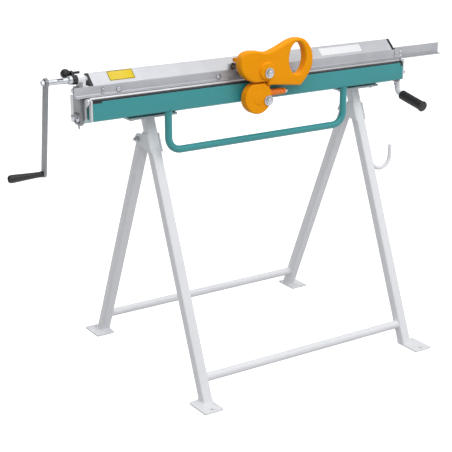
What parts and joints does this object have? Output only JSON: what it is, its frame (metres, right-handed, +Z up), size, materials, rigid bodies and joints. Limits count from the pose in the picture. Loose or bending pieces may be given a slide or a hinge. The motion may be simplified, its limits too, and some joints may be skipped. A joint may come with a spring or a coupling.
{
  "type": "sheet metal folding brake",
  "caption": "Portable hand folding brake on a folding stand, with lever-clamped beam, hinged apron, sliding rolling cutter and cranked bead mandrel.",
  "frame": {"origin": "on the floor, at the bottom centre of the whole tool's box", "axes": "+X along the bed towards the clamp lever, +Y away from the person who folds, +Z up"},
  "size_m": [1.4692, 0.733, 0.9685],
  "materials": {
    "white_paint": "satin white-grey paint",
    "green_paint": "satin teal green paint",
    "orange_paint": "semi-gloss orange paint on a casting",
    "aluminium": "extruded and anodised",
    "zinc_steel": "zinc plated",
    "bright_steel": "ground",
    "blued_steel": "blued, dark",
    "black_plastic": "moulded black plastic"
  },
  "bodies": {
    "stand": {"left_front_leg": "white_paint", "right_front_leg": "white_paint", "front_crossbar": "white_paint", "left_front_foot": "white_paint", "right_front_foot": "white_paint", "left_top_plate": "white_paint", "right_top_plate": "white_paint", "left_pivot_bracket": "white_paint", "right_pivot_bracket": "white_paint", "left_pivot_bolt": "zinc_steel", "right_pivot_bolt": "zinc_steel", "carry_hook": "white_paint", "bed_beam": "green_paint", "bed_plate": "bright_steel", "left_bed_end_plate": "zinc_steel", "right_bed_end_plate": "zinc_steel"},
    "rear_frame": {"left_rear_leg": "white_paint", "right_rear_leg": "white_paint", "rear_crossbar": "white_paint", "left_rear_foot": "white_paint", "right_rear_foot": "white_paint"},
    "apron": {"apron_beam": "green_paint", "bending_bar": "blued_steel", "left_apron_end_plate": "zinc_steel", "right_apron_end_plate": "zinc_steel", "apron_handle": "green_paint"},
    "clamp_beam": {"clamp_nose": "bright_steel", "clamp_beam_section": "aluminium", "left_beam_cap": "black_plastic", "right_beam_cap": "black_plastic", "slitter_rail": "aluminium", "rail_extension": "aluminium", "right_bracket": "zinc_steel", "mandrel_bracket": "white_paint", "left_clamp_link": "zinc_steel", "right_clamp_link": "zinc_steel", "bearing_bush": "black_plastic", "locking_collar": "zinc_steel"},
    "clamp_shaft": {"eccentric_shaft": "zinc_steel", "clamp_lever": "white_paint", "lever_grip": "black_plastic"},
    "carriage": {"carriage_bar": "zinc_steel", "tip_pin": "zinc_steel"},
    "left_roller": {"left_guide_roller": "black_plastic"},
    "right_roller": {"right_guide_roller": "black_plastic"},
    "cutter_head": {"cutter_body": "orange_paint", "lower_wheel_housing": "orange_paint", "main_bolt": "zinc_steel", "lower_bolt": "zinc_steel", "tension_knob": "orange_paint", "upper_wheel_axle": "zinc_steel", "lower_wheel_axle": "zinc_steel"},
    "upper_wheel": {"upper_cutting_wheel": "bright_steel"},
    "lower_wheel": {"lower_cutting_wheel": "bright_steel"},
    "crank": {"bead_mandrel": "zinc_steel", "crank_arm": "zinc_steel", "handle_pin": "zinc_steel"},
    "crank_handle": {"crank_handle_grip": "black_plastic"},
    "lock_knob": {"lock_knob": "black_plastic"}
  },
  "joints": [
    {"name": "rear_frame_fold", "type": "hinge", "parent": "stand", "child": "rear_frame", "pos_m": [0.0666, 0.03139, 0.698], "axis": [-1, 0, 0], "range_deg": [0, 42]},
    {"name": "apron_swing", "type": "hinge", "parent": "stand", "child": "apron", "pos_m": [0.0666, -0.071, 0.851], "axis": [-1, 0, 0], "range_deg": [0, 90]},
    {"name": "clamp_lever", "type": "hinge", "parent": "stand", "child": "clamp_shaft", "pos_m": [0.0666, -0.0263, 0.803], "axis": [-1, 0, 0], "range_deg": [0, 80]},
    {"name": "clamp_lift", "type": "slide", "parent": "stand", "child": "clamp_beam", "axis": [0, 0, 1], "range_m": [0, 0.00775]},
    {"name": "cutter_slide", "type": "slide", "parent": "clamp_beam", "child": "carriage", "axis": [1, 0, 0], "range_m": [-0.4, 0.385]},
    {"name": "cutter_tip", "type": "hinge", "parent": "carriage", "child": "cutter_head", "pos_m": [0.0206, -0.059, 0.913], "axis": [-1, 0, 0], "range_deg": [0, 90]},
    {"name": "left_roller_spin", "type": "hinge", "parent": "carriage", "child": "left_roller", "pos_m": [-0.0584, -0.056, 0.8952], "axis": [0, 1, 0], "continuous": true},
    {"name": "right_roller_spin", "type": "hinge", "parent": "carriage", "child": "right_roller", "pos_m": [0.0546, -0.056, 0.8952], "axis": [0, 1, 0], "continuous": true},
    {"name": "upper_wheel_spin", "type": "hinge", "parent": "cutter_head", "child": "upper_wheel", "pos_m": [-0.0084, -0.092, 0.8847], "axis": [0, 1, 0], "continuous": true},
    {"name": "lower_wheel_spin", "type": "hinge", "parent": "cutter_head", "child": "lower_wheel", "pos_m": [-0.0084, -0.0959, 0.8063], "axis": [0, 1, 0], "continuous": true},
    {"name": "crank_spin", "type": "hinge", "parent": "clamp_beam", "child": "crank", "pos_m": [-0.6273, -0.04, 0.905], "axis": [1, 0, 0], "continuous": true},
    {"name": "crank_handle_spin", "type": "hinge", "parent": "crank", "child": "crank_handle", "pos_m": [-0.6363, -0.00187, 0.64983], "axis": [1, 0, 0], "continuous": true},
    {"name": "lock_knob_turn", "type": "hinge", "parent": "clamp_beam", "child": "lock_knob", "pos_m": [-0.5639, -0.017, 0.919], "axis": [1, 0, 0], "continuous": true}
  ],
  "couplings": [
    {"joint": "clamp_lift", "follows": "clamp_lever", "m_per_rad": 0.005524},
    {"joint": "cutter_tip", "follows": "apron_swing", "ratio": 1}
  ]
}
